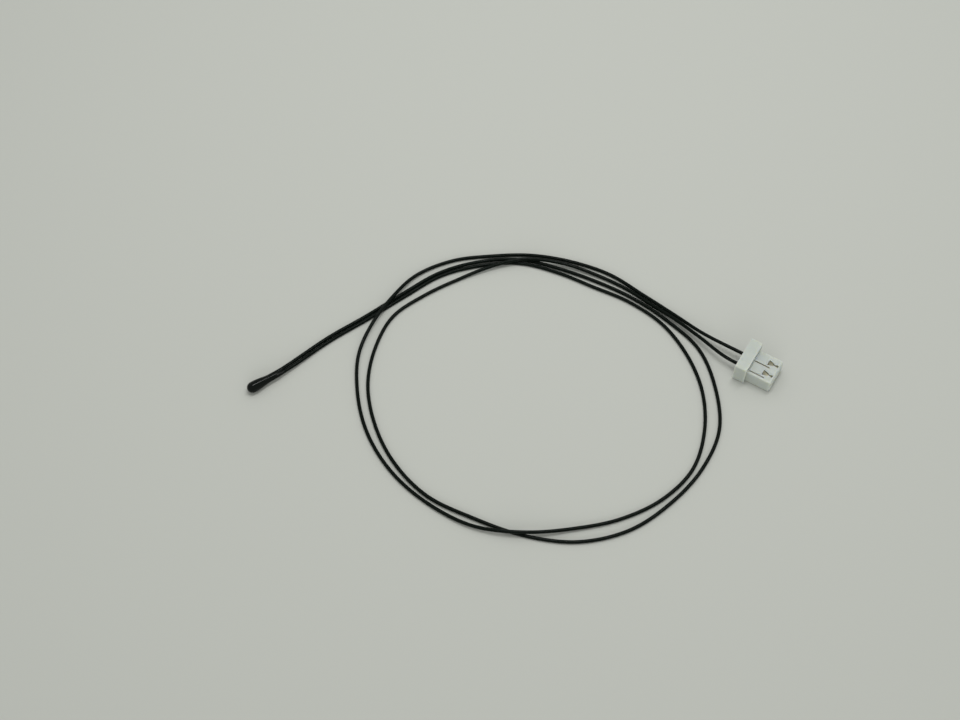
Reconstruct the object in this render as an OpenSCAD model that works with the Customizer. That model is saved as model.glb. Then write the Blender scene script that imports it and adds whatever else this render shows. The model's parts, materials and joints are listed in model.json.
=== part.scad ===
// Bead thermistor on two insulated leads that end in a two-way crimp connector.
// Millimetres. The origin is on the surface that the part lies on, under the middle of the bead.
// +X runs along the bead from its tip towards the leads, and +Z is up.

/* [Bead] */
// Length of the epoxy bead, from its tip to the neck where the leads come out
bead_length = 6; // [5:0.1:9]
// Largest diameter of the bead
bead_d = 2.2; // [2:0.05:3.5]
// Distance from the tip to the widest place
bead_nose = 1.2; // [0.9:0.05:1.8]
// Diameter of the epoxy at the neck, between the leads
neck_d = 1.1; // [0.8:0.05:1.5]
// Thickness of the epoxy that has crept along each lead
epoxy_skin = 0.05; // [0.03:0.01:0.15]

/* [Thermistor chip] */
// Length and width of the ceramic chip
chip_side = 0.9; // [0.6:0.05:1.1]
// Distance from the tip of the bead to the chip
chip_setback = 0.7; // [0.5:0.05:1]
// How far each lead's core runs past the middle of the chip
core_overlap = 0.12; // [0:0.02:0.16]
// Diameter of the solder blob round the core
solder_d = 0.64; // [0.58:0.02:0.8]
// Thickness of the solder between the core and the chip
solder_film = 0.04; // [0.02:0.01:0.06]

/* [Leads] */
// Outside diameter of the insulation
lead_d = 0.7; // [0.6:0.02:0.74]
// Diameter of the stranded copper core
core_d = 0.3; // [0.2:0.02:0.4]
// Space between the leads where they enter the bead
lead_gap = 0.06; // [0.03:0.01:0.15]
// Length of insulation inside the bead
lead_depth = 2; // [1.2:0.1:2.8]

/* [Connector housing] */
// Distance between the two contacts
contact_pitch = 2.5; // [2.4:0.02:4]
// Thickness of the wall below the contacts
floor_t = 0.9; // [0.6:0.05:2.2]
// Thickness of the wall above the contacts
roof_t = 0.4; // [0.3:0.05:0.8]
// Thickness of the nose's side walls
side_wall = 0.65; // [0.5:0.05:1.2]
// Thickness of the wall at the mating end
front_wall = 0.6; // [0.4:0.05:1]
// Length of the nose that goes into the header
nose_length = 5.1; // [4.9:0.1:8]
// Length of the grip block behind the nose
grip_length = 2.4; // [2:0.1:4]
// How far the grip block stands out past each side of the nose
grip_side = 0.75; // [0.3:0.05:1.5]
// How far the grip block stands above the nose
grip_rise = 1.5; // [0.5:0.05:2]
// Radius of the long moulded edges
edge_r = 0.25; // [0.1:0.05:0.4]
// Chamfer round the mating end
nose_chamfer = 0.3; // [0.1:0.05:0.4]
// Width of the square hole for the header's post
post_hole = 1; // [0.8:0.05:1.2]
// Depth of the funnel at the mouth of each post hole
post_funnel = 0.25; // [0.1:0.05:0.35]
// Width of the grooves in the roof
groove_w = 0.26; // [0.2:0.02:0.4]
// Depth of the grooves in the roof
groove_depth = 0.25; // [0.1:0.05:0.3]
// Distance from each contact to the groove beside it
groove_offset = 1.05; // [0.9:0.05:1.1]
// Distance from the grip block to each groove
groove_start = 0.1; // [0.1:0.05:0.5]
// Length of the grooves in the roof
groove_length = 3.2; // [2:0.1:4.2]
// Space beside the free end of the lance in its window
window_room = 0.22; // [0.1:0.02:0.3]
// Width of the slit from each window to the round hole in front of it
slit_w = 0.3; // [0.2:0.02:0.4]
// Diameter of that round hole
slit_hole_d = 0.6; // [0.5:0.02:0.8]
// Distance from the mating end to that hole
slit_hole_setback = 0.7; // [0.6:0.05:0.9]

/* [Crimp terminals] */
// Thickness of the stamped strip
strip_t = 0.2; // [0.12:0.01:0.24]
// Outside width of the contact box
box_w = 1.8; // [1.5:0.05:1.9]
// Outside height of the contact box
box_h = 1.7; // [1.5:0.05:2]
// Length of the contact box
box_length = 3.4; // [3:0.1:3.6]
// Clearance between the contact box and its cavity
terminal_gap = 0.1; // [0.05:0.01:0.2]
// Bend radius of the folded corners, outside
fold_r = 0.25; // [0.2:0.01:0.35]
// Gap at the folded seam of the box
seam_gap = 0.05; // [0.02:0.01:0.1]
// Width of the strip that carries the crimps
spine_w = 0.8; // [0.5:0.05:1]
// Length of the slope between the box and the crimps
slope_length = 0.5; // [0.3:0.05:0.7]
// Length of the crimp on the strands
core_crimp = 1.1; // [0.8:0.05:1.2]
// Space between the two crimps
crimp_space = 0.4; // [0.2:0.05:0.5]
// Length of the crimp on the insulation
insulation_crimp = 0.9; // [0.6:0.05:1.1]
// Gap between the ends of the crimp's wings
wing_gap = 0.12; // [0.05:0.01:0.2]
// Length of strands that show in front of the core crimp
strand_end = 0.2; // [0.1:0.05:0.4]
// Width of the locking lance at its free end
lance_w = 0.8; // [0.6:0.05:0.9]
// Width of the locking lance at its root
lance_root_w = 0.45; // [0.3:0.05:0.6]
// Length of the locking lance
lance_length = 0.95; // [0.8:0.05:1.3]
// Height of the lance's free end above the box
lance_rise = 0.45; // [0.2:0.05:0.55]
// Distance from the front of the box to the root of the lance
lance_setback = 0.75; // [0.6:0.05:1]
// Gap round the lance in the box, and at both ends of its window
lance_gap = 0.1; // [0.05:0.01:0.15]
// Width of the spring tongue inside the box
tongue_w = 0.9; // [0.6:0.05:1]
// Height of the spring tongue's bend
tongue_rise = 0.45; // [0.2:0.05:0.5]
// Length of the spring tongue
tongue_length = 2.4; // [2:0.1:2.6]

/* [Place of the connector] */
// Distance of the middle of the connector's rear face along X
plug_x = 80.5; // [78:0.1:84]
// Distance of the middle of the connector's rear face along Y
plug_y = -47.5; // [-52:0.1:-46]
// Direction that the mating end points to, in degrees from +X
plug_turn = -64.5; // [-80:0.5:-50]

/* [Hidden] */
$fn = 48;
// How far a cut runs past the face that it opens
past = 0.5;

// Bead: heights and places along X
bead_axis_z = bead_d / 2;
bead_tip_x = -bead_length / 2;
neck_x = bead_length / 2;
lead_pitch = lead_d + lead_gap;
insulation_x = neck_x - lead_depth;
chip_x = bead_tip_x + chip_setback;
chip_middle_x = chip_x + chip_side / 2;
chip_t = lead_pitch - core_d - 2 * solder_film;
core_x = chip_middle_x - core_overlap;

// Bead outline: an elliptic nose, then a taper that eases into the neck
nose_steps = 10;
taper_steps = 16;
taper_fullness = 1.2;
function taper_radius(t) = neck_d / 2 + (bead_d - neck_d) / 2 * (1 + cos(180 * pow(t, taper_fullness))) / 2;
nose_points = [for (i = [0 : nose_steps])
    let (a = 90 * i / nose_steps) [bead_d / 2 * sin(a), bead_nose * (1 - cos(a))]];
taper_points = [for (i = [1 : taper_steps])
    let (t = i / taper_steps) [taper_radius(t), bead_nose + (bead_length - bead_nose) * t]];
bead_outline = concat(nose_points, taper_points, [[0, bead_length]]);

// Connector: places along its own axis, from the rear face to the mating end
plug_length = grip_length + nose_length;
cavity_w = box_w + 2 * terminal_gap;
cavity_h = box_h + 2 * terminal_gap;
cavity_end = plug_length - front_wall;
contact_z = floor_t + cavity_h / 2;
nose_w = contact_pitch + cavity_w + 2 * side_wall;
nose_h = floor_t + cavity_h + roof_t;
grip_w = nose_w + 2 * grip_side;
grip_h = nose_h + grip_rise;
box_front = cavity_end - terminal_gap;
box_rear = box_front - box_length;
core_crimp_front = box_rear - slope_length;
core_crimp_rear = core_crimp_front - core_crimp;
insulation_crimp_front = core_crimp_rear - crimp_space;
insulation_crimp_rear = insulation_crimp_front - insulation_crimp;
insulation_end = core_crimp_rear - crimp_space / 2;
lance_root = box_front - lance_setback;
lance_tip = lance_root - lance_length;
spine_z = -lead_d / 2 - strip_t;

// Leads: sides of the tube, straight stretch at each end
lead_sides = 8;
bead_straight = 0.5;
plug_straight = 2;

// Routes of the leads: X, Y and height over the surface in lead diameters
route_a = [
    [6.5, 0.75, 0.65], [16, 1.95, 0], [25, 2.1, 0], [34, 2.55, 0], [43.2, 2.6, 0], [51.1, 0.4, 0],
    [58.3, -3.8, 0], [63.8, -10.2, 0], [67.8, -16.2, 0], [71.7, -23.6, 0], [74.4, -32, 0], [75.6, -40.4, 0],
    [72.9, -49.4, 0], [67.9, -57, 0], [60.2, -61.7, 0], [51, -64.1, 0], [41.4, -64.3, 0], [32.2, -61, 0],
    [24.6, -54.5, 0], [18.6, -46.2, 0], [13.9, -37.6, 0], [12.5, -28.4, 0], [13.8, -19.4, 0],
    [17.4, -11.1, 0], [22.8, -5.1, 0], [29.6, -0.9, 0], [37, -0.2, 0], [44.5, -0.7, 0], [51.4, -1.9, 0.65],
    [58, -4.2, 1.3], [64.6, -9.5, 0.8], [69, -15.5, 0.2], [72.1, -21.5, 0], [74, -27.2, 0.1],
    [75.5, -32.2, 0.7], [76.8, -38.2, 1.5]];
route_b = [
    [6.5, -0.05, 0.65], [16, 1.1, 0], [25, 1.3, 0], [34, 1.75, 0], [42.9, 1.85, 0], [50.6, -0.45, 0],
    [57.7, -4.5, 0], [63, -10.9, 0], [66.6, -17, 0], [70.6, -24, 0], [73.1, -32.2, 0], [72.9, -40, 0],
    [70.6, -48, 0], [65.8, -55.2, 0], [58.6, -60.8, 0], [50.3, -62.6, 0], [41.5, -61.6, 0],
    [32.9, -58.4, 0.3], [24.5, -54, 1.15], [17.6, -47.6, 0.4], [13.5, -39.8, 0], [11.1, -30.2, 0],
    [11.6, -20.2, 0], [14.9, -11.2, 0], [19.5, -4.4, 0.3], [25.6, -0.1, 1.1], [31.6, 2.6, 1.15],
    [38, 4.6, 0.3], [46.4, 3.7, 0], [53.8, 0.25, 0], [60.7, -4.1, 0], [66.6, -9.9, 0], [71.2, -16.6, 0],
    [74, -24.4, 0], [76.4, -32.2, 0.5], [77.9, -38.2, 1.5]];

// Points of a lead: straight out of the bead, along its route, straight into the connector
// In the bead, side 1 is towards +Y; in the connector, it is away from the coil
function bead_point(x, side) = [x, side * lead_pitch / 2, bead_axis_z];
function route_point(p) = [p[0], p[1], lead_d * (p[2] + 0.5)];
function plug_point(u, side) =
    let (v = side * contact_pitch / 2)
    [plug_x + u * cos(plug_turn) - v * sin(plug_turn),
     plug_y + u * sin(plug_turn) + v * cos(plug_turn), contact_z];
function lead_path(route, bead_side, plug_side) = concat(
    [bead_point(insulation_x, bead_side), bead_point(neck_x + bead_straight, bead_side)],
    [for (p = route) route_point(p)],
    [plug_point(-plug_straight, plug_side), plug_point(insulation_end, plug_side)]);

// Tube along a path: one ring of corners square to the path at each point, a corner at the bottom
function unit(v) = v / norm(v);
function direction(path, i) = unit(path[min(i + 1, len(path) - 1)] - path[max(i - 1, 0)]);
function ring(path, i) =
    let (along = direction(path, i), across = unit(cross([0, 0, 1], along)), over = cross(along, across))
    [for (k = [0 : lead_sides - 1])
        let (a = 360 * k / lead_sides - 90) path[i] + lead_d / 2 * (cos(a) * across + sin(a) * over)];

module tube(path) {
    rings = len(path);
    corners = [for (i = [0 : rings - 1]) each ring(path, i)];
    walls = [for (i = [0 : rings - 2], k = [0 : lead_sides - 1])
        let (a = i * lead_sides + k, b = i * lead_sides + (k + 1) % lead_sides)
        each [[a, a + lead_sides, b], [b, a + lead_sides, b + lead_sides]]];
    first_cap = [for (k = [0 : lead_sides - 1]) k];
    last_cap = [for (k = [lead_sides - 1 : -1 : 0]) (rings - 1) * lead_sides + k];
    polyhedron(corners, concat([first_cap], walls, [last_cap]));
}

// A cylinder along X from one place to another
module rod_x(from, to, r) {
    translate([from, 0, 0]) rotate([0, 90, 0]) cylinder(h = to - from, r = r);
}

// A flat shape drawn in Y and Z, pulled along X
module pull_x(from, to) {
    translate([from, 0, 0]) rotate([90, 0, 90]) linear_extrude(to - from) children();
}

// A flat shape drawn in X and Z, as wide as given along Y and centred
module pull_y(width) {
    rotate([90, 0, 0]) linear_extrude(width, center = true) children();
}

// A rectangle with round corners, centred across and standing on the line
module round_rectangle(w, h, r) {
    translate([-w / 2 + r, 0]) square([w - 2 * r, h]);
    translate([-w / 2, r]) square([w, h - 2 * r]);
    for (x = [-w / 2 + r, w / 2 - r], y = [r, h - r]) translate([x, y]) circle(r);
}

// A flat shape that narrows from its rear to its front
module taper_plan(rear, front, rear_w, front_w) {
    polygon([[rear, -rear_w / 2], [front, -front_w / 2], [front, front_w / 2], [rear, rear_w / 2]]);
}

// Moves what is drawn about the axis of one lead into its place in the bead
module at_lead(side) {
    translate([0, side * lead_pitch / 2, bead_axis_z]) children();
}

module chip_form() {
    translate([chip_x, -chip_t / 2, bead_axis_z - chip_side / 2]) cube([chip_side, chip_t, chip_side]);
}

module bead_core_form(side) {
    at_lead(side) rod_x(core_x, insulation_x, core_d / 2);
}

module solder_ball(side) {
    at_lead(side) translate([chip_middle_x, 0, 0]) sphere(d = solder_d);
}

// A blob of solder round the end of the core, cut flat where it stands on the chip
module solder_form(side) {
    face_y = side * chip_t / 2;
    intersection() {
        solder_ball(side);
        translate([chip_middle_x, face_y + side * solder_d / 2, bead_axis_z]) cube(solder_d, center = true);
    }
}

module epoxy_bead() {
    color("#16191a") difference() {
        union() {
            translate([bead_tip_x, 0, bead_axis_z]) rotate([0, 90, 0]) rotate_extrude() polygon(bead_outline);
            for (side = [-1, 1])
                at_lead(side) rod_x(bead_tip_x + bead_nose, neck_x, lead_d / 2 + epoxy_skin);
        }
        chip_form();
        for (side = [-1, 1]) {
            solder_ball(side);
            at_lead(side) rod_x(core_x, neck_x, core_d / 2);
            at_lead(side) rod_x(insulation_x, neck_x + past, lead_d / 2);
        }
    }
}

module ntc_chip() {
    color("#4a4b4e") chip_form();
}

module solder(side) {
    color("#b9bcc0") difference() {
        solder_form(side);
        bead_core_form(side);
    }
}

module bead_core(side) {
    color("#b87347") bead_core_form(side);
}

module lead_a() {
    color("#1a1d1c") tube(lead_path(route_a, 1, -1));
}

module lead_b() {
    color("#1a1d1c") tube(lead_path(route_b, -1, 1));
}

// Moves what is drawn in the connector's own axes to its place at the end of the leads
module at_plug() {
    translate([plug_x, plug_y, 0]) rotate([0, 0, plug_turn]) children();
}

// Moves what is drawn about a contact's axis into its place in the connector
module at_contact(side) {
    translate([0, side * contact_pitch / 2, contact_z]) children();
}

// The nose with its mating end chamfered on all four edges
module nose_form() {
    top = plug_length - nose_chamfer;
    intersection() {
        pull_x(grip_length - edge_r, plug_length) round_rectangle(nose_w, nose_h, edge_r);
        pull_y(nose_w + past) polygon([[0, 0], [top, 0], [plug_length, nose_chamfer],
            [plug_length, nose_h - nose_chamfer], [top, nose_h], [0, nose_h]]);
        linear_extrude(nose_h) polygon([[0, -nose_w / 2], [top, -nose_w / 2],
            [plug_length, -nose_w / 2 + nose_chamfer], [plug_length, nose_w / 2 - nose_chamfer],
            [top, nose_w / 2], [0, nose_w / 2]]);
    }
}

// The funnel that leads a post into its square hole
module post_funnel_form() {
    wide = post_hole / 2 + post_funnel;
    slope = [[plug_length - post_funnel, -post_hole / 2], [plug_length + past, -wide - past],
        [plug_length + past, wide + past], [plug_length - post_funnel, post_hole / 2]];
    intersection() {
        pull_y(2 * (wide + past)) polygon(slope);
        linear_extrude(2 * (wide + past), center = true) polygon(slope);
    }
}

// What is cut for one contact: cavity, post hole, lance window, slit with its hole, and the groove beside it
module contact_cuts() {
    roof_z = cavity_h / 2;
    roof_cut = roof_t + past;
    hole_x = plug_length - slit_hole_setback;
    translate([-past, -cavity_w / 2, -cavity_h / 2]) cube([cavity_end + past, cavity_w, cavity_h]);
    translate([cavity_end - past, -post_hole / 2, -post_hole / 2])
        cube([front_wall + 2 * past, post_hole, post_hole]);
    post_funnel_form();
    translate([0, 0, roof_z - terminal_gap]) {
        linear_extrude(roof_cut) taper_plan(lance_tip - lance_gap, lance_root + lance_gap,
            lance_w + 2 * window_room, lance_root_w + 2 * lance_gap);
        translate([lance_root, -slit_w / 2, 0]) cube([hole_x - lance_root, slit_w, roof_cut]);
        translate([hole_x, 0, 0]) cylinder(h = roof_cut, d = slit_hole_d);
    }
    translate([grip_length + groove_start, -groove_offset - groove_w / 2, roof_z + roof_t - groove_depth])
        cube([groove_length, groove_w, groove_depth + past]);
}

module connector_housing() {
    color("#e9ebe6") at_plug() difference() {
        union() {
            pull_x(0, grip_length) round_rectangle(grip_w, grip_h, edge_r);
            nose_form();
        }
        for (side = [-1, 1]) at_contact(side) contact_cuts();
    }
}

// The contact box: a folded rectangle whose top flap ends in a seam, with the lance's opening in the flap
module contact_box() {
    difference() {
        pull_x(box_rear, box_front) translate([0, -box_h / 2]) difference() {
            round_rectangle(box_w, box_h, fold_r);
            translate([-box_w / 2 + strip_t, strip_t]) square([box_w - 2 * strip_t, box_h - 2 * strip_t]);
        }
        translate([box_rear - past, box_w / 2 - strip_t - seam_gap, box_h / 2 - strip_t])
            cube([box_length + 2 * past, seam_gap, strip_t + past]);
        linear_extrude(box_h) taper_plan(lance_tip - lance_gap, lance_root, lance_w + 2 * lance_gap,
            lance_root_w + 2 * lance_gap);
    }
}

// The lance: a straight strip that rises and widens from its root towards the rear
module lance() {
    low = box_h / 2 - strip_t;
    intersection() {
        pull_y(lance_w) polygon([[lance_root + strip_t, low], [lance_root + strip_t, low + strip_t],
            [lance_root, low + strip_t], [lance_tip, low + strip_t + lance_rise],
            [lance_tip, low + lance_rise], [lance_root, low]]);
        linear_extrude(box_h) {
            taper_plan(lance_tip, lance_root, lance_w, lance_root_w);
            translate([lance_root, -lance_root_w / 2]) square([strip_t, lance_root_w]);
        }
    }
}

// The spring tongue: a strip on the box's floor that bends up in one smooth wave and down to a free end
module tongue() {
    low = -box_h / 2 + strip_t / 2;
    wave_steps = 16;
    function wave(i) = low + tongue_rise * (1 - cos(360 * i / wave_steps)) / 2;
    function wave_x(i) = box_front - tongue_length * i / wave_steps;
    pull_y(tongue_w) polygon(concat(
        [for (i = [0 : wave_steps]) [wave_x(i), wave(i) + strip_t]],
        [for (i = [wave_steps : -1 : 0]) [wave_x(i), wave(i)]]));
}

// The strip that carries the crimps, with the slope up from the box's floor
module spine() {
    low = -box_h / 2;
    pull_y(spine_w) polygon([[insulation_crimp_rear, spine_z], [core_crimp_front, spine_z], [box_rear, low],
        [box_rear + strip_t, low], [box_rear + strip_t, low + strip_t], [box_rear, low + strip_t],
        [core_crimp_front, spine_z + strip_t], [insulation_crimp_rear, spine_z + strip_t]]);
}

// A crimp: two wings rolled round a wire, with a gap where their ends meet
module crimp(from, to, r) {
    pull_x(from, to) difference() {
        union() {
            circle(r + strip_t);
            translate([-r - strip_t / 2, spine_z]) square([2 * r + strip_t, -spine_z - r / 2]);
        }
        circle(r);
        translate([-wing_gap / 2, 0]) square([wing_gap, r + strip_t + past]);
    }
}

module terminal(side) {
    color("#b5a184") at_plug() at_contact(side) {
        contact_box();
        lance();
        tongue();
        spine();
        crimp(core_crimp_rear, core_crimp_front, core_d / 2);
        crimp(insulation_crimp_rear, insulation_crimp_front, lead_d / 2);
    }
}

module plug_core(side) {
    color("#b87347") at_plug() at_contact(side)
        rod_x(insulation_end, core_crimp_front + strand_end, core_d / 2);
}

epoxy_bead();
ntc_chip();
solder(1);  // solder_a
solder(-1);  // solder_b
bead_core(1);  // bead_core_a
bead_core(-1);  // bead_core_b
lead_a();
lead_b();
connector_housing();
terminal(-1);  // terminal_a
terminal(1);  // terminal_b
plug_core(-1);  // plug_core_a
plug_core(1);  // plug_core_b
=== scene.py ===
"""A bead thermistor on two thin leads that lie in a loose coil and end in a crimp connector."""

import json
import math

import bmesh
import bpy
import numpy as np
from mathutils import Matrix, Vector


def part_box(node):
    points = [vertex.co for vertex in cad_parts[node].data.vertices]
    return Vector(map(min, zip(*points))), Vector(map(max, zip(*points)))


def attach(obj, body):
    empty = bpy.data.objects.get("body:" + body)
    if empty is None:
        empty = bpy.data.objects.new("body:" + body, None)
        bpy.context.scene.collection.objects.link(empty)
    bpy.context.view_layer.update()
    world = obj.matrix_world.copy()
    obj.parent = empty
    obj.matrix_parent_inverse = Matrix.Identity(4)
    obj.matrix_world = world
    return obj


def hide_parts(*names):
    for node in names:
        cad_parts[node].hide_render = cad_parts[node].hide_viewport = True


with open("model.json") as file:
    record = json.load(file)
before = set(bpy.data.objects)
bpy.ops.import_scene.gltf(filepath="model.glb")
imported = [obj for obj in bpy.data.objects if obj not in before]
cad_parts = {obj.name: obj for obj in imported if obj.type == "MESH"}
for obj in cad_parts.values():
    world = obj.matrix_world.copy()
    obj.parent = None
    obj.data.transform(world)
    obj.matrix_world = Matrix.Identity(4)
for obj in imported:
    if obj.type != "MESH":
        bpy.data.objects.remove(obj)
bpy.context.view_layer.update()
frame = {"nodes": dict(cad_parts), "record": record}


# Camera
# A 60 mm lens looks down at the table at 60 degrees from the near side of the coil.
# The picture's middle falls on the bare table inside the coil, nearer to the bead than to the connector.
MM = 0.001
camera_target = Vector((38.5, -18.65, 0)) * MM
camera_distance = 313.7 * MM
camera_elevation = math.radians(60)
camera_heading = math.radians(56.5)

camera_lens = bpy.data.cameras.new("camera")
camera_lens.lens = 60
camera_lens.sensor_width = 36
camera = bpy.data.objects.new("camera", camera_lens)
far_way = Vector((math.cos(camera_heading), math.sin(camera_heading), 0))
look = far_way * math.cos(camera_elevation) - Vector((0, 0, math.sin(camera_elevation)))
camera.location = camera_target - look * camera_distance
camera.rotation_euler = look.to_track_quat("-Z", "Y").to_euler()
bpy.context.scene.collection.objects.link(camera)
bpy.context.scene.camera = camera
bpy.context.scene.view_settings.view_transform = "Standard"


# Leads
# Two stranded wires in thin extruded black insulation. Each is set in the epoxy at one end and crimped in
# the connector at the other, and between them it lies on the table in one turn and a bit of a loose coil.
# The points are the route's X and Y in millimetres and its height over the table in lead diameters.
lead_d = 0.7 * MM
lead_spacing = 0.5 * MM
lead_sides = 20
bead_straight = 2.5 * MM
plug_straight = 3.6 * MM
plug_core_length = 1.5 * MM
chord_samples = 40
routes = {
    "a": [
        (6.5, 0.75, 0.65), (16, 1.95, 0), (25, 2.1, 0), (34, 2.55, 0), (43.2, 2.6, 0), (51.1, 0.4, 0),
        (58.3, -3.8, 0), (63.8, -10.2, 0), (67.8, -16.2, 0), (71.7, -23.6, 0), (74.4, -32, 0),
        (75.6, -40.4, 0), (72.9, -49.4, 0), (67.9, -57, 0), (60.2, -61.7, 0), (51, -64.1, 0),
        (41.4, -64.3, 0), (32.2, -61, 0), (24.6, -54.5, 0), (18.6, -46.2, 0), (13.9, -37.6, 0),
        (12.5, -28.4, 0), (13.8, -19.4, 0), (17.4, -11.1, 0), (22.8, -5.1, 0), (29.6, -0.9, 0),
        (37, -0.2, 0), (44.5, -0.7, 0), (51.4, -1.9, 0.65), (58, -4.2, 1.3), (64.6, -9.5, 0.8),
        (69, -15.5, 0.2), (72.1, -21.5, 0), (74, -27.2, 0.1), (75.5, -32.2, 0.7), (76.8, -38.2, 1.5)],
    "b": [
        (6.5, -0.05, 0.65), (16, 1.1, 0), (25, 1.3, 0), (34, 1.75, 0), (42.9, 1.85, 0), (50.6, -0.45, 0),
        (57.7, -4.5, 0), (63, -10.9, 0), (66.6, -17, 0), (70.6, -24, 0), (73.1, -32.2, 0), (72.9, -40, 0),
        (70.6, -48, 0), (65.8, -55.2, 0), (58.6, -60.8, 0), (50.3, -62.6, 0), (41.5, -61.6, 0),
        (32.9, -58.4, 0.3), (24.5, -54, 1.15), (17.6, -47.6, 0.4), (13.5, -39.8, 0), (11.1, -30.2, 0),
        (11.6, -20.2, 0), (14.9, -11.2, 0), (19.5, -4.4, 0.3), (25.6, -0.1, 1.1), (31.6, 2.6, 1.15),
        (38, 4.6, 0.3), (46.4, 3.7, 0), (53.8, 0.25, 0), (60.7, -4.1, 0), (66.6, -9.9, 0),
        (71.2, -16.6, 0), (74, -24.4, 0), (76.4, -32.2, 0.5), (77.9, -38.2, 1.5)],
}
plug_mount = next(mount for mount in frame["record"]["mounts"] if mount["name"] == "mating_end")
plug_axis = np.array(plug_mount["axis"], float)


def smooth_line(points, spacing):
    """Points at even steps along a smooth line through the given points.

    Between two points the line is a cubic in the chord length. Its slope at a point is the slope there of
    the parabola through that point and its two neighbours, and at the ends it is the slope of the end chord.
    """
    points = np.asarray(points, float)
    chord = np.linalg.norm(np.diff(points, axis=0), axis=1)[:, None]
    slope = np.diff(points, axis=0) / chord
    inner = (slope[:-1] * chord[1:] + slope[1:] * chord[:-1]) / (chord[:-1] + chord[1:])
    tangent = np.concatenate([slope[:1], inner, slope[-1:]])
    t = np.linspace(0, 1, chord_samples, endpoint=False)[None, :, None]
    start, end = points[:-1, None], points[1:, None]
    start_pull, end_pull = (tangent[:-1] * chord)[:, None], (tangent[1:] * chord)[:, None]
    fine = ((2 * t**3 - 3 * t**2 + 1) * start + (t**3 - 2 * t**2 + t) * start_pull
            + (3 * t**2 - 2 * t**3) * end + (t**3 - t**2) * end_pull).reshape(-1, 3)
    fine = np.concatenate([fine, points[-1:]])
    length = np.concatenate([[0], np.cumsum(np.linalg.norm(np.diff(fine, axis=0), axis=1))])
    even = np.linspace(0, length[-1], round(length[-1] / spacing) + 1)
    return np.stack([np.interp(even, length, fine[:, axis]) for axis in range(3)], axis=1)


def round_tube(line, radius, sides):
    """A grid of points on a round tube: a circle of that radius carried along the line and square to it."""
    along = np.gradient(line, axis=0)
    along /= np.linalg.norm(along, axis=1)[:, None]
    across = np.cross((0, 0, 1), along)
    across /= np.linalg.norm(across, axis=1)[:, None]
    over = np.cross(along, across)
    angle = np.linspace(0, 2 * np.pi, sides, endpoint=False)[None, :, None]
    ring = np.cos(angle) * across[:, None] + np.sin(angle) * over[:, None]
    return line[:, None] + radius * ring


def skin_piece(name, grid):
    """An object whose mesh is a skin over a grid of points, with rows along the piece and columns round it.

    The last column joins the first, one flat face closes each end, and the UV map is in millimetres.
    """
    rows, columns = grid.shape[:2]
    index = np.arange(rows * columns).reshape(rows, columns)
    beside = np.roll(index, -1, axis=1)
    quads = np.stack([index[:-1], beside[:-1], beside[1:], index[1:]], axis=-1).reshape(-1, 4)
    caps = [index[0, ::-1].tolist(), index[-1].tolist()]
    mesh = bpy.data.meshes.new(name)
    mesh.from_pydata(grid.reshape(-1, 3).tolist(), [], quads.tolist() + caps)
    middle = grid.mean(axis=1)
    length = np.concatenate([[0], np.cumsum(np.linalg.norm(np.diff(middle, axis=0), axis=1))]) / MM
    girth = np.linalg.norm(np.diff(grid, axis=1), axis=2).sum(axis=1).max() / MM
    around = girth * np.arange(columns + 1) / columns
    u = np.stack([around[:-1], around[1:], around[1:], around[:-1]], axis=-1)
    v = np.stack([length[:-1], length[:-1], length[1:], length[1:]], axis=-1)[:, None]
    sides_uv = np.stack(np.broadcast_arrays(u, v), axis=-1).reshape(-1)
    caps_uv = np.zeros(4 * columns)
    mesh.uv_layers.new(name="length").data.foreach_set("uv", np.concatenate([sides_uv, caps_uv]))
    smooth = np.ones(len(mesh.polygons), bool)
    smooth[-2:] = False
    mesh.polygons.foreach_set("use_smooth", smooth)
    mesh.update()
    piece = bpy.data.objects.new(name, mesh)
    bpy.context.scene.collection.objects.link(piece)
    return piece


def colour(hex_code):
    """Linear colour of an sRGB hex value.

    A channel c from 0 to 1 gives ((c + 0.055) / 1.055)^2.4, or c / 12.92 near black.
    """
    channels = np.array([int(hex_code[i:i + 2], 16) for i in (1, 3, 5)]) / 255
    linear = np.where(channels > 0.04045, ((channels + 0.055) / 1.055) ** 2.4, channels / 12.92)
    return (*linear.tolist(), 1.0)


def add_node(material, kind, inputs=None, **settings):
    """Adds one node to a material. An input that is a socket is linked, and any other is a plain value."""
    tree = material.node_tree
    node = tree.nodes.new(kind)
    for name, value in settings.items():
        setattr(node, name, value)
    for name, value in (inputs or {}).items():
        if isinstance(value, bpy.types.NodeSocket):
            tree.links.new(value, node.inputs[name])
        else:
            node.inputs[name].default_value = value
    return node


def new_material(name):
    """An empty node material and its surface output."""
    material = bpy.data.materials.new(name)
    material.use_nodes = True
    material.node_tree.nodes.clear()
    return material, add_node(material, "ShaderNodeOutputMaterial")


# Black insulation, extruded: near black with a soft sheen, faint draw lines some 0.08 mm apart along its
# length, and a thin bloom of paler plasticiser in patches some 6 mm long. The UV map is in millimetres.
draw_lines_per_mm = 12
draw_line_length = 4
bloom_width = 2
bloom_length = 6.25

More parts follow.
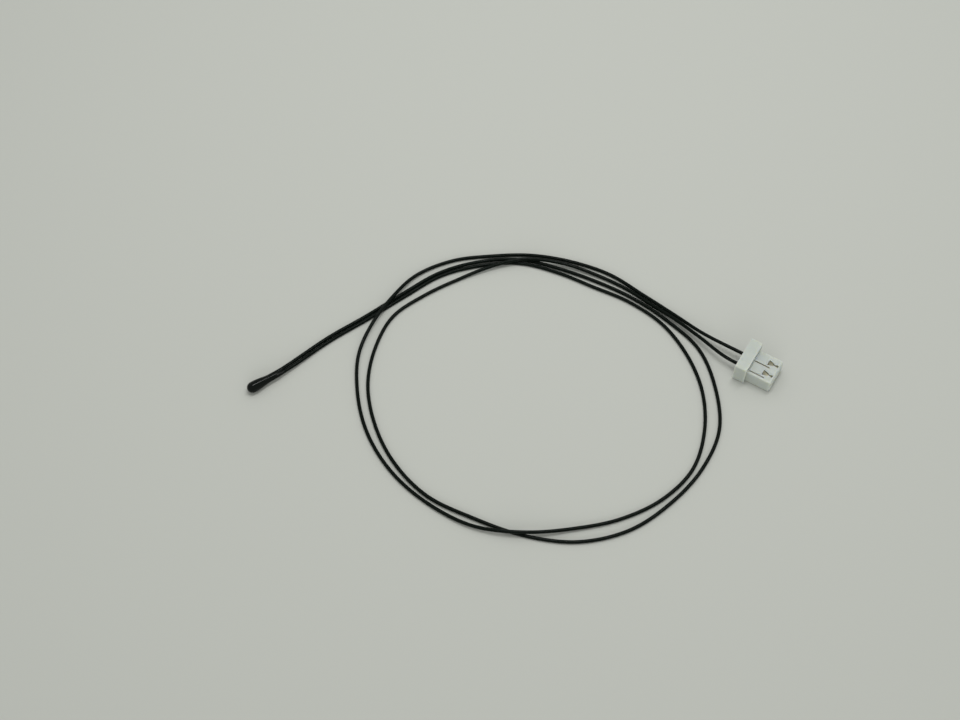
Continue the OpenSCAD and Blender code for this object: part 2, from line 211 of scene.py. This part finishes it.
insulation, surface = new_material("extruded black PVC")
lengthwise = add_node(insulation, "ShaderNodeUVMap", uv_map="length")
draw_scale = add_node(insulation, "ShaderNodeMapping", {
    "Vector": lengthwise.outputs["UV"], "Scale": (draw_lines_per_mm, 1 / draw_line_length, 1)})
draw_lines = add_node(insulation, "ShaderNodeTexNoise", {
    "Vector": draw_scale.outputs["Vector"], "Scale": 1.0, "Detail": 2.0}, noise_dimensions="2D")
bloom_scale = add_node(insulation, "ShaderNodeMapping", {
    "Vector": lengthwise.outputs["UV"], "Scale": (1 / bloom_width, 1 / bloom_length, 1)})
bloom = add_node(insulation, "ShaderNodeTexNoise", {
    "Vector": bloom_scale.outputs["Vector"], "Scale": 1.0, "Detail": 3.0}, noise_dimensions="2D")
tint = add_node(insulation, "ShaderNodeMix", {
    "Factor": bloom.outputs["Fac"], "A": colour("#030a05"), "B": colour("#070f0a")}, data_type="RGBA")
sheen = add_node(insulation, "ShaderNodeMapRange", {
    "Value": draw_lines.outputs["Fac"], "To Min": 0.2, "To Max": 0.32})
ridges = add_node(insulation, "ShaderNodeBump", {
    "Height": draw_lines.outputs["Fac"], "Strength": 0.15, "Distance": 0.02 * MM})
shader = add_node(insulation, "ShaderNodeBsdfPrincipled", {
    "Base Color": tint.outputs["Result"], "Roughness": sheen.outputs["Result"],
    "Normal": ridges.outputs["Normal"], "IOR": 1.5, "Specular IOR Level": 0.1})
insulation.node_tree.links.new(shader.outputs["BSDF"], surface.inputs["Surface"])

lead_lines = {}
for name, route in routes.items():
    core_low, core_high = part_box(f"bead_core_{name}")
    core_middle = (core_low + core_high) / 2
    bead_start = np.array((core_high.x, core_middle.y, core_middle.z))
    plug_low, plug_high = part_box(f"plug_core_{name}")
    plug_end = np.array((plug_low + plug_high) / 2) - plug_axis * plug_core_length / 2
    table_points = [(x * MM, y * MM, lead_d * (level + 0.5)) for x, y, level in route]
    line = smooth_line([bead_start, bead_start + (bead_straight, 0, 0), *table_points,
                        plug_end - plug_axis * plug_straight, plug_end], lead_spacing)
    line[:, 2] = np.maximum(line[:, 2], lead_d / 2)
    lead_lines[name] = line
    lead = skin_piece(f"lead_{name}_insulation", round_tube(line, lead_d / 2, lead_sides))
    lead.data.materials.append(insulation)
    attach(lead, "root")
    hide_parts(f"lead_{name}")


# Bead
# The chip and the stripped ends of the leads are dipped in liquid black epoxy and cured with the tip hanging
# down. That leaves a glossy drop that thins towards the leads and creeps a little way along them.
bead_low, bead_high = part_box("epoxy_bead")
bead_length = bead_high.x - bead_low.x
bead_r = (bead_high.z - bead_low.z) / 2
bead_nose = 1.2 * MM
tip_angle = 0.03
neck_r = 0.55 * MM
taper_fullness = 1.2
epoxy_skin = 0.05 * MM
epoxy_creep = 2.4 * MM
skin_loss = 1.2
blend_width = 0.08 * MM
nose_rows = 24
taper_rows = 60
creep_rows = 30
bead_columns = 64
lead_points_in_bead = 24


def drop_surface():
    """A grid of points on the epoxy drop: radii about the line midway between the leads, by place and angle.

    The nose is half an ellipse, and starts a small angle off its tip. Behind it the radius falls from the
    bead's to the neck's as a cosine wave of (share of the taper)^fullness, and past the neck it falls to
    nothing as another. The leads' own outline, two circles side by side under a thin skin, is blended in
    with the logarithm of a sum of exponentials. The skin thins along the leads, and ends just inside them.
    """
    nose = bead_nose * (1 - np.cos(np.linspace(tip_angle, np.pi / 2, nose_rows)))
    taper = np.linspace(bead_nose, bead_length, taper_rows + 1)[1:]
    creep = bead_length + epoxy_creep * np.linspace(0, 1, creep_rows + 1)[1:]
    place = np.concatenate([nose, taper, creep])[:, None]
    angle = np.linspace(0, 2 * np.pi, bead_columns, endpoint=False)[None, :]
    share = np.clip((place - bead_nose) / (bead_length - bead_nose), 0, 1)
    past_neck = np.clip((place - bead_length) / epoxy_creep, 0, 1)
    nose_radius = bead_r * np.sqrt(1 - np.clip(1 - place / bead_nose, 0, 1) ** 2)
    taper_radius = neck_r + (bead_r - neck_r) * (1 + np.cos(np.pi * share**taper_fullness)) / 2
    drop = np.where(place < bead_nose, nose_radius, taper_radius * (1 + np.cos(np.pi * past_neck)) / 2)
    cover = lead_d / 2 + epoxy_skin * (1 - skin_loss * past_neck)
    x = bead_low.x + place
    near_lines = [line[:lead_points_in_bead] for line in lead_lines.values()]
    near_a, near_b = ([np.interp(x, line[:, 0], line[:, axis]) for axis in (1, 2)] for line in near_lines)
    offset = (near_a[0] - near_b[0]) / 2
    reach = np.sqrt(np.maximum(cover**2 - (offset * np.sin(angle)) ** 2, 0))
    leads = (offset * np.abs(np.cos(angle)) + reach) * np.clip((place - bead_nose) / bead_nose, 0, 1)
    blended = blend_width * np.logaddexp(drop / blend_width, leads / blend_width)
    radius = np.where(place < bead_nose, drop, blended)
    y = (near_a[0] + near_b[0]) / 2 + radius * np.cos(angle)
    z = (near_a[1] + near_b[1]) / 2 + radius * np.sin(angle)
    return np.stack([x + 0 * angle, y, z], axis=-1)


# Dipped black epoxy: deep black and glossy, with a faint long ripple from flowing as it cured.
ripple_size = 1.6 * MM
haze_size = 0.3 * MM

epoxy, surface = new_material("cured black epoxy")
place_on_bead = add_node(epoxy, "ShaderNodeTexCoord")
ripple = add_node(epoxy, "ShaderNodeTexNoise", {
    "Vector": place_on_bead.outputs["Object"], "Scale": 1 / ripple_size, "Detail": 1.0})
haze = add_node(epoxy, "ShaderNodeTexNoise", {
    "Vector": place_on_bead.outputs["Object"], "Scale": 1 / haze_size, "Detail": 3.0})
gloss = add_node(epoxy, "ShaderNodeMapRange", {
    "Value": haze.outputs["Fac"], "To Min": 0.06, "To Max": 0.1})
flow = add_node(epoxy, "ShaderNodeBump", {
    "Height": ripple.outputs["Fac"], "Strength": 0.04, "Distance": 0.1 * MM})
shader = add_node(epoxy, "ShaderNodeBsdfPrincipled", {
    "Base Color": colour("#040906"), "Roughness": gloss.outputs["Result"],
    "Normal": flow.outputs["Normal"], "IOR": 1.5, "Specular IOR Level": 0.18})
epoxy.node_tree.links.new(shader.outputs["BSDF"], surface.inputs["Surface"])

bead = skin_piece("epoxy_drop", drop_surface())
bead.data.materials.append(epoxy)
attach(bead, "root")
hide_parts("epoxy_bead")


# Chip and solder
# Inside the drop, a square of sintered metal-oxide ceramic is silvered on its two flat faces, and a blob of
# solder holds a lead's core to each face. The epoxy hides them.
oxide_grain = 0.05 * MM
solder_frost = 0.08 * MM

# Sintered oxide: dull and dark grey, with a fine grain.
oxide, surface = new_material("sintered oxide ceramic")
place_on_chip = add_node(oxide, "ShaderNodeTexCoord")
grain = add_node(oxide, "ShaderNodeTexNoise", {
    "Vector": place_on_chip.outputs["Object"], "Scale": 1 / oxide_grain, "Detail": 4.0})
tint = add_node(oxide, "ShaderNodeMix", {
    "Factor": grain.outputs["Fac"], "A": colour("#3c3d40"), "B": colour("#5a5b5e")}, data_type="RGBA")
shader = add_node(oxide, "ShaderNodeBsdfPrincipled", {
    "Base Color": tint.outputs["Result"], "Roughness": 0.7})
oxide.node_tree.links.new(shader.outputs["BSDF"], surface.inputs["Surface"])

# Tin solder, set from the melt: bright silver, frosted in small patches.
solder, surface = new_material("bright tin solder")
place_on_solder = add_node(solder, "ShaderNodeTexCoord")
frost = add_node(solder, "ShaderNodeTexNoise", {
    "Vector": place_on_solder.outputs["Object"], "Scale": 1 / solder_frost, "Detail": 3.0})
dull = add_node(solder, "ShaderNodeMapRange", {
    "Value": frost.outputs["Fac"], "To Min": 0.2, "To Max": 0.5})
shader = add_node(solder, "ShaderNodeBsdfPrincipled", {
    "Base Color": colour("#c4c6c9"), "Metallic": 1.0, "Roughness": dull.outputs["Result"]})
solder.node_tree.links.new(shader.outputs["BSDF"], surface.inputs["Surface"])

for node, finish in (("ntc_chip", oxide), ("solder_a", solder), ("solder_b", solder)):
    frame["nodes"][node].data.materials.clear()
    frame["nodes"][node].data.materials.append(finish)


# Stranded cores
# Where the insulation is stripped, seven fine copper strands show, six twisted round one. They run into the
# solder in the bead and into the crimps in the connector.
strand_twist = 2.4 * MM
strands_round = 6
strands_across = 3
strand_rows = 25
strand_sides = 8
tarnish_size = 0.4 * MM

# Bare copper, drawn: bright and warm, browner where it has tarnished.
copper, surface = new_material("bare drawn copper")
place_on_copper = add_node(copper, "ShaderNodeTexCoord")
tarnish = add_node(copper, "ShaderNodeTexNoise", {
    "Vector": place_on_copper.outputs["Object"], "Scale": 1 / tarnish_size, "Detail": 3.0})
tint = add_node(copper, "ShaderNodeMix", {
    "Factor": tarnish.outputs["Fac"], "A": colour("#b4703f"), "B": colour("#d49a72")}, data_type="RGBA")
shader = add_node(copper, "ShaderNodeBsdfPrincipled", {
    "Base Color": tint.outputs["Result"], "Metallic": 1.0, "Roughness": 0.3})
copper.node_tree.links.new(shader.outputs["BSDF"], surface.inputs["Surface"])


def strand_bundle(start, end, core_d):
    """Grids of points on seven strands between two points.

    One strand is straight, and six are helices of the twist's pitch round it, a strand's width from it.
    """
    axis = (end - start) / np.linalg.norm(end - start)
    across = np.cross((0, 0, 1), axis)
    over = np.cross(axis, across)
    strand_d = core_d / strands_across
    reach = np.linspace(0, np.linalg.norm(end - start), strand_rows)[:, None]
    middle = start + reach * axis
    turns = [2 * np.pi * (reach / strand_twist + k / strands_round) for k in range(strands_round)]
    helices = [middle + strand_d * (np.cos(turn) * across + np.sin(turn) * over) for turn in turns]
    return [round_tube(line, strand_d / 2, strand_sides) for line in [middle, *helices]]


# A core turned by an angle in plan has a box of length * cos + width * sin one way, and of length * sin +
# width * cos the other. Their shares along the core add up to its length and twice width * sin * cos.
for end_name, along in (("bead_core", np.array((1.0, 0, 0))), ("plug_core", plug_axis)):
    for name in routes:
        low, high = (np.array(corner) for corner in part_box(f"{end_name}_{name}"))
        core_d = high[2] - low[2]
        turned_width = 2 * core_d * np.abs(along[0] * along[1])
        half_length = ((high - low)[:2] @ np.abs(along[:2]) - turned_width) / 2
        middle = (low + high) / 2
        grids = strand_bundle(middle - along * half_length, middle + along * half_length, core_d)
        strands = [skin_piece(f"{end_name}_{name}_strands", grid) for grid in grids]
        with bpy.context.temp_override(active_object=strands[0], selected_editable_objects=strands):
            bpy.ops.object.join()
        strands[0].data.materials.append(copper)
        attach(strands[0], "root")
        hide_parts(f"{end_name}_{name}")


# Connector housing
# One injection moulding of natural nylon, with a grip block behind a nose that goes into the header.
# It has a cavity for each contact, a window for the contact's lance, a slit, and grooves.
# All its edges are a little rounded.
grip_rise = 1.5 * MM
groove_depth = 0.25 * MM
housing_edge = 0.06 * MM
edge_segments = 2
sharp_angle = math.radians(30)
flat_angle = math.radians(0.5)
same_point = 1e-7

# Natural nylon, moulded: milky white and a little waxy, because light passes some way into it, with a fine
# satin pitting from the mould. The grooves' floors and walls take a patchy brown painted shade.
cloud_size = 3 * MM
shade_patch = 0.4 * MM
pit_size = 0.12 * MM

nylon, surface = new_material("moulded natural nylon")
place_on_nylon = add_node(nylon, "ShaderNodeTexCoord")
cloud = add_node(nylon, "ShaderNodeTexNoise", {
    "Vector": place_on_nylon.outputs["Object"], "Scale": 1 / cloud_size, "Detail": 2.0})
tint = add_node(nylon, "ShaderNodeMix", {
    "Factor": cloud.outputs["Fac"], "A": colour("#b9bfb9"), "B": colour("#c3c9c3")}, data_type="RGBA")
# Painted shade: on the marked faces of the grooves the nylon's colour turns, in patches, a darker brown
# grey.
groove_shade = add_node(nylon, "ShaderNodeAttribute", attribute_name="groove_shade")
patches = add_node(nylon, "ShaderNodeTexNoise", {
    "Vector": place_on_nylon.outputs["Object"], "Scale": 1 / shade_patch, "Detail": 3.0})
groove_shade_film = add_node(nylon, "ShaderNodeMapRange", {
    "Value": patches.outputs["Fac"], "From Min": 0.3, "From Max": 0.6, "To Max": groove_shade.outputs["Fac"]})
# The darker brown grey mixed in here is painted shade in the grooves.
shaded_tint = add_node(nylon, "ShaderNodeMix", {
    "Factor": groove_shade_film.outputs["Result"], "A": tint.outputs["Result"], "B": colour("#9a9682")},
    data_type="RGBA")
pitting = add_node(nylon, "ShaderNodeTexNoise", {
    "Vector": place_on_nylon.outputs["Object"], "Scale": 1 / pit_size, "Detail": 3.0})
dull = add_node(nylon, "ShaderNodeMapRange", {
    "Value": pitting.outputs["Fac"], "To Min": 0.38, "To Max": 0.55})
texture = add_node(nylon, "ShaderNodeBump", {
    "Height": pitting.outputs["Fac"], "Strength": 0.15, "Distance": 0.01 * MM})
shader = add_node(nylon, "ShaderNodeBsdfPrincipled", {
    "Base Color": shaded_tint.outputs["Result"], "Roughness": dull.outputs["Result"],
    "Normal": texture.outputs["Normal"], "IOR": 1.53, "Subsurface Weight": 1.0,
    "Subsurface Radius": (1.0, 0.9, 0.65), "Subsurface Scale": 1.4 * MM})
nylon.node_tree.links.new(shader.outputs["BSDF"], surface.inputs["Surface"])


def finished_copy(node, name, edge_width):
    """A copy of a CAD node with its triangles merged, its flat faces joined and its sharp edges rounded."""
    source = frame["nodes"][node].data
    corners = np.empty(3 * len(source.vertices))
    source.vertices.foreach_get("co", corners)
    corners = corners.reshape(-1, 3)
    triangles = np.empty(3 * len(source.polygons), int)
    source.loops.foreach_get("vertex_index", triangles)
    first, merged = np.unique(
        np.round(corners / same_point), axis=0, return_index=True, return_inverse=True)[1:]
    faces = merged.reshape(-1)[triangles].reshape(-1, 3)
    mesh = bpy.data.meshes.new(name)
    mesh.from_pydata(corners[first].tolist(), [], faces.tolist())
    shell = bmesh.new()
    shell.from_mesh(mesh)
    bmesh.ops.dissolve_limit(shell, angle_limit=flat_angle, verts=shell.verts, edges=shell.edges)
    shell.to_mesh(mesh)
    shell.free()
    mesh.shade_smooth()
    piece = bpy.data.objects.new(name, mesh)
    bpy.context.scene.collection.objects.link(piece)
    edges = piece.modifiers.new("edges", "BEVEL")
    edges.width = edge_width
    edges.segments = edge_segments
    edges.limit_method = "ANGLE"
    edges.angle_limit = sharp_angle
    edges.harden_normals = True
    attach(piece, "root")
    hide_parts(node)
    return piece


def mark_groove_shade(mesh, top, depth):
    """A painted-shade face attribute: 1 on the floors and walls of the grooves in a flat top, 0 elsewhere.

    Such a face lies no lower than the depth below the top. It is a level floor below the top, or an upright
    wall that reaches it.
    """
    near = 0.01 * MM
    level = 0.99
    upright = 0.01
    points = np.empty(3 * len(mesh.vertices))
    mesh.vertices.foreach_get("co", points)
    corners = np.empty(len(mesh.loops), int)
    mesh.loops.foreach_get("vertex_index", corners)
    face_starts = np.empty(len(mesh.polygons), int)
    mesh.polygons.foreach_get("loop_start", face_starts)
    normals = np.empty(3 * len(mesh.polygons))
    mesh.polygons.foreach_get("normal", normals)
    corner_heights = points[2::3][corners]
    lowest = np.minimum.reduceat(corner_heights, face_starts)
    highest = np.maximum.reduceat(corner_heights, face_starts)
    upward = normals[2::3]
    shallow = (lowest > top - depth - near) & (lowest < top - near)
    floor = shallow & (upward > level)
    wall = shallow & (np.abs(upward) < upright) & (np.abs(highest - top) < near)
    mesh.attributes.new("groove_shade", "FLOAT", "FACE").data.foreach_set("value", (floor | wall).astype(float))


housing = finished_copy("connector_housing", "nylon_housing", housing_edge)
# The grooves' floors and walls are marked to take the painted shade.
mark_groove_shade(housing.data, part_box("connector_housing")[1].z - grip_rise, groove_depth)
housing.data.materials.append(nylon)


# Crimp contacts
# Each is stamped from thin phosphor bronze strip, tin plated and folded: a box for the post with a spring
# tongue in it, a lance that springs up into the housing's window, and two pairs of wings crimped on the
# strands and insulation.
contact_edge = 0.03 * MM
wear_size = 0.5 * MM

# Tinned bronze, stamped: a dull silvery yellow, in brighter and duller patches where the tin has worn.
bronze, surface = new_material("tinned phosphor bronze")
place_on_bronze = add_node(bronze, "ShaderNodeTexCoord")
wear = add_node(bronze, "ShaderNodeTexNoise", {
    "Vector": place_on_bronze.outputs["Object"], "Scale": 1 / wear_size, "Detail": 4.0})
tint = add_node(bronze, "ShaderNodeMix", {
    "Factor": wear.outputs["Fac"], "A": colour("#a09c84"), "B": colour("#c9c6b2")}, data_type="RGBA")
dull = add_node(bronze, "ShaderNodeMapRange", {
    "Value": wear.outputs["Fac"], "To Min": 0.25, "To Max": 0.45})
shader = add_node(bronze, "ShaderNodeBsdfPrincipled", {
    "Base Color": tint.outputs["Result"], "Metallic": 1.0, "Roughness": dull.outputs["Result"]})
bronze.node_tree.links.new(shader.outputs["BSDF"], surface.inputs["Surface"])

for name, line in lead_lines.items():
    contact = finished_copy(f"terminal_{name}", f"contact_{name}", contact_edge)
    contact.data.materials.append(bronze)


# Table
# A sheet of uncoated card lies flat and carries the part. It isn't part of the object.
# The card gives the eye an even pale grey-green without gloss.
table_size = 3.0
card, surface = new_material("matt pale card")
shader = add_node(card, "ShaderNodeBsdfPrincipled", {
    "Base Color": colour("#c1c3bd"), "Roughness": 0.9, "IOR": 1.3})
card.node_tree.links.new(shader.outputs["BSDF"], surface.inputs["Surface"])
half = table_size / 2
table_corners = [(-half, -half, 0), (half, -half, 0), (half, half, 0), (-half, half, 0)]
table_mesh = bpy.data.meshes.new("table")
table_mesh.from_pydata(table_corners, [], [(0, 1, 2, 3)])
table_mesh.materials.append(card)
table = bpy.data.objects.new("table", table_mesh)
bpy.context.scene.collection.objects.link(table)


# Light
# A soft lamp almost overhead, a little to the far side, and a fill lamp low on the near side are kept out of
# reflections. A slim lamp higher up draws the thin highlights, and the room gives even pale light.
soft_place = camera_target + far_way * 0.08 + Vector((0, 0, 0.22))
slim_place = camera_target + Vector((0.13, 0.051, 0.5))
fill_place = camera_target - far_way * 0.6 + Vector((0, 0, 0.25))
room_strength = 0.5


def hang_lamp(name, place, width, depth, watts):
    """A rectangular lamp that shines straight down from its place."""
    panel = bpy.data.lights.new(name, "AREA")
    panel.shape = "RECTANGLE"
    panel.size = width
    panel.size_y = depth
    panel.energy = watts
    lamp = bpy.data.objects.new(name, panel)
    lamp.location = place
    bpy.context.scene.collection.objects.link(lamp)
    return lamp


soft_lamp = hang_lamp("soft lamp", soft_place, width=0.3, depth=0.3, watts=0.17)
hang_lamp("slim lamp", slim_place, width=0.28, depth=0.035, watts=0.75)
fill_lamp = hang_lamp("fill lamp", fill_place, width=0.5, depth=0.3, watts=0.8)
for lamp in (soft_lamp, fill_lamp):
    lamp.rotation_euler = (camera_target - lamp.location).to_track_quat("-Z", "Y").to_euler()
    lamp.visible_glossy = False
room = bpy.data.worlds.new("room")
room.use_nodes = True
room.node_tree.nodes["Background"].inputs["Color"].default_value = colour("#f4f6f2")
room.node_tree.nodes["Background"].inputs["Strength"].default_value = room_strength
bpy.context.scene.world = room
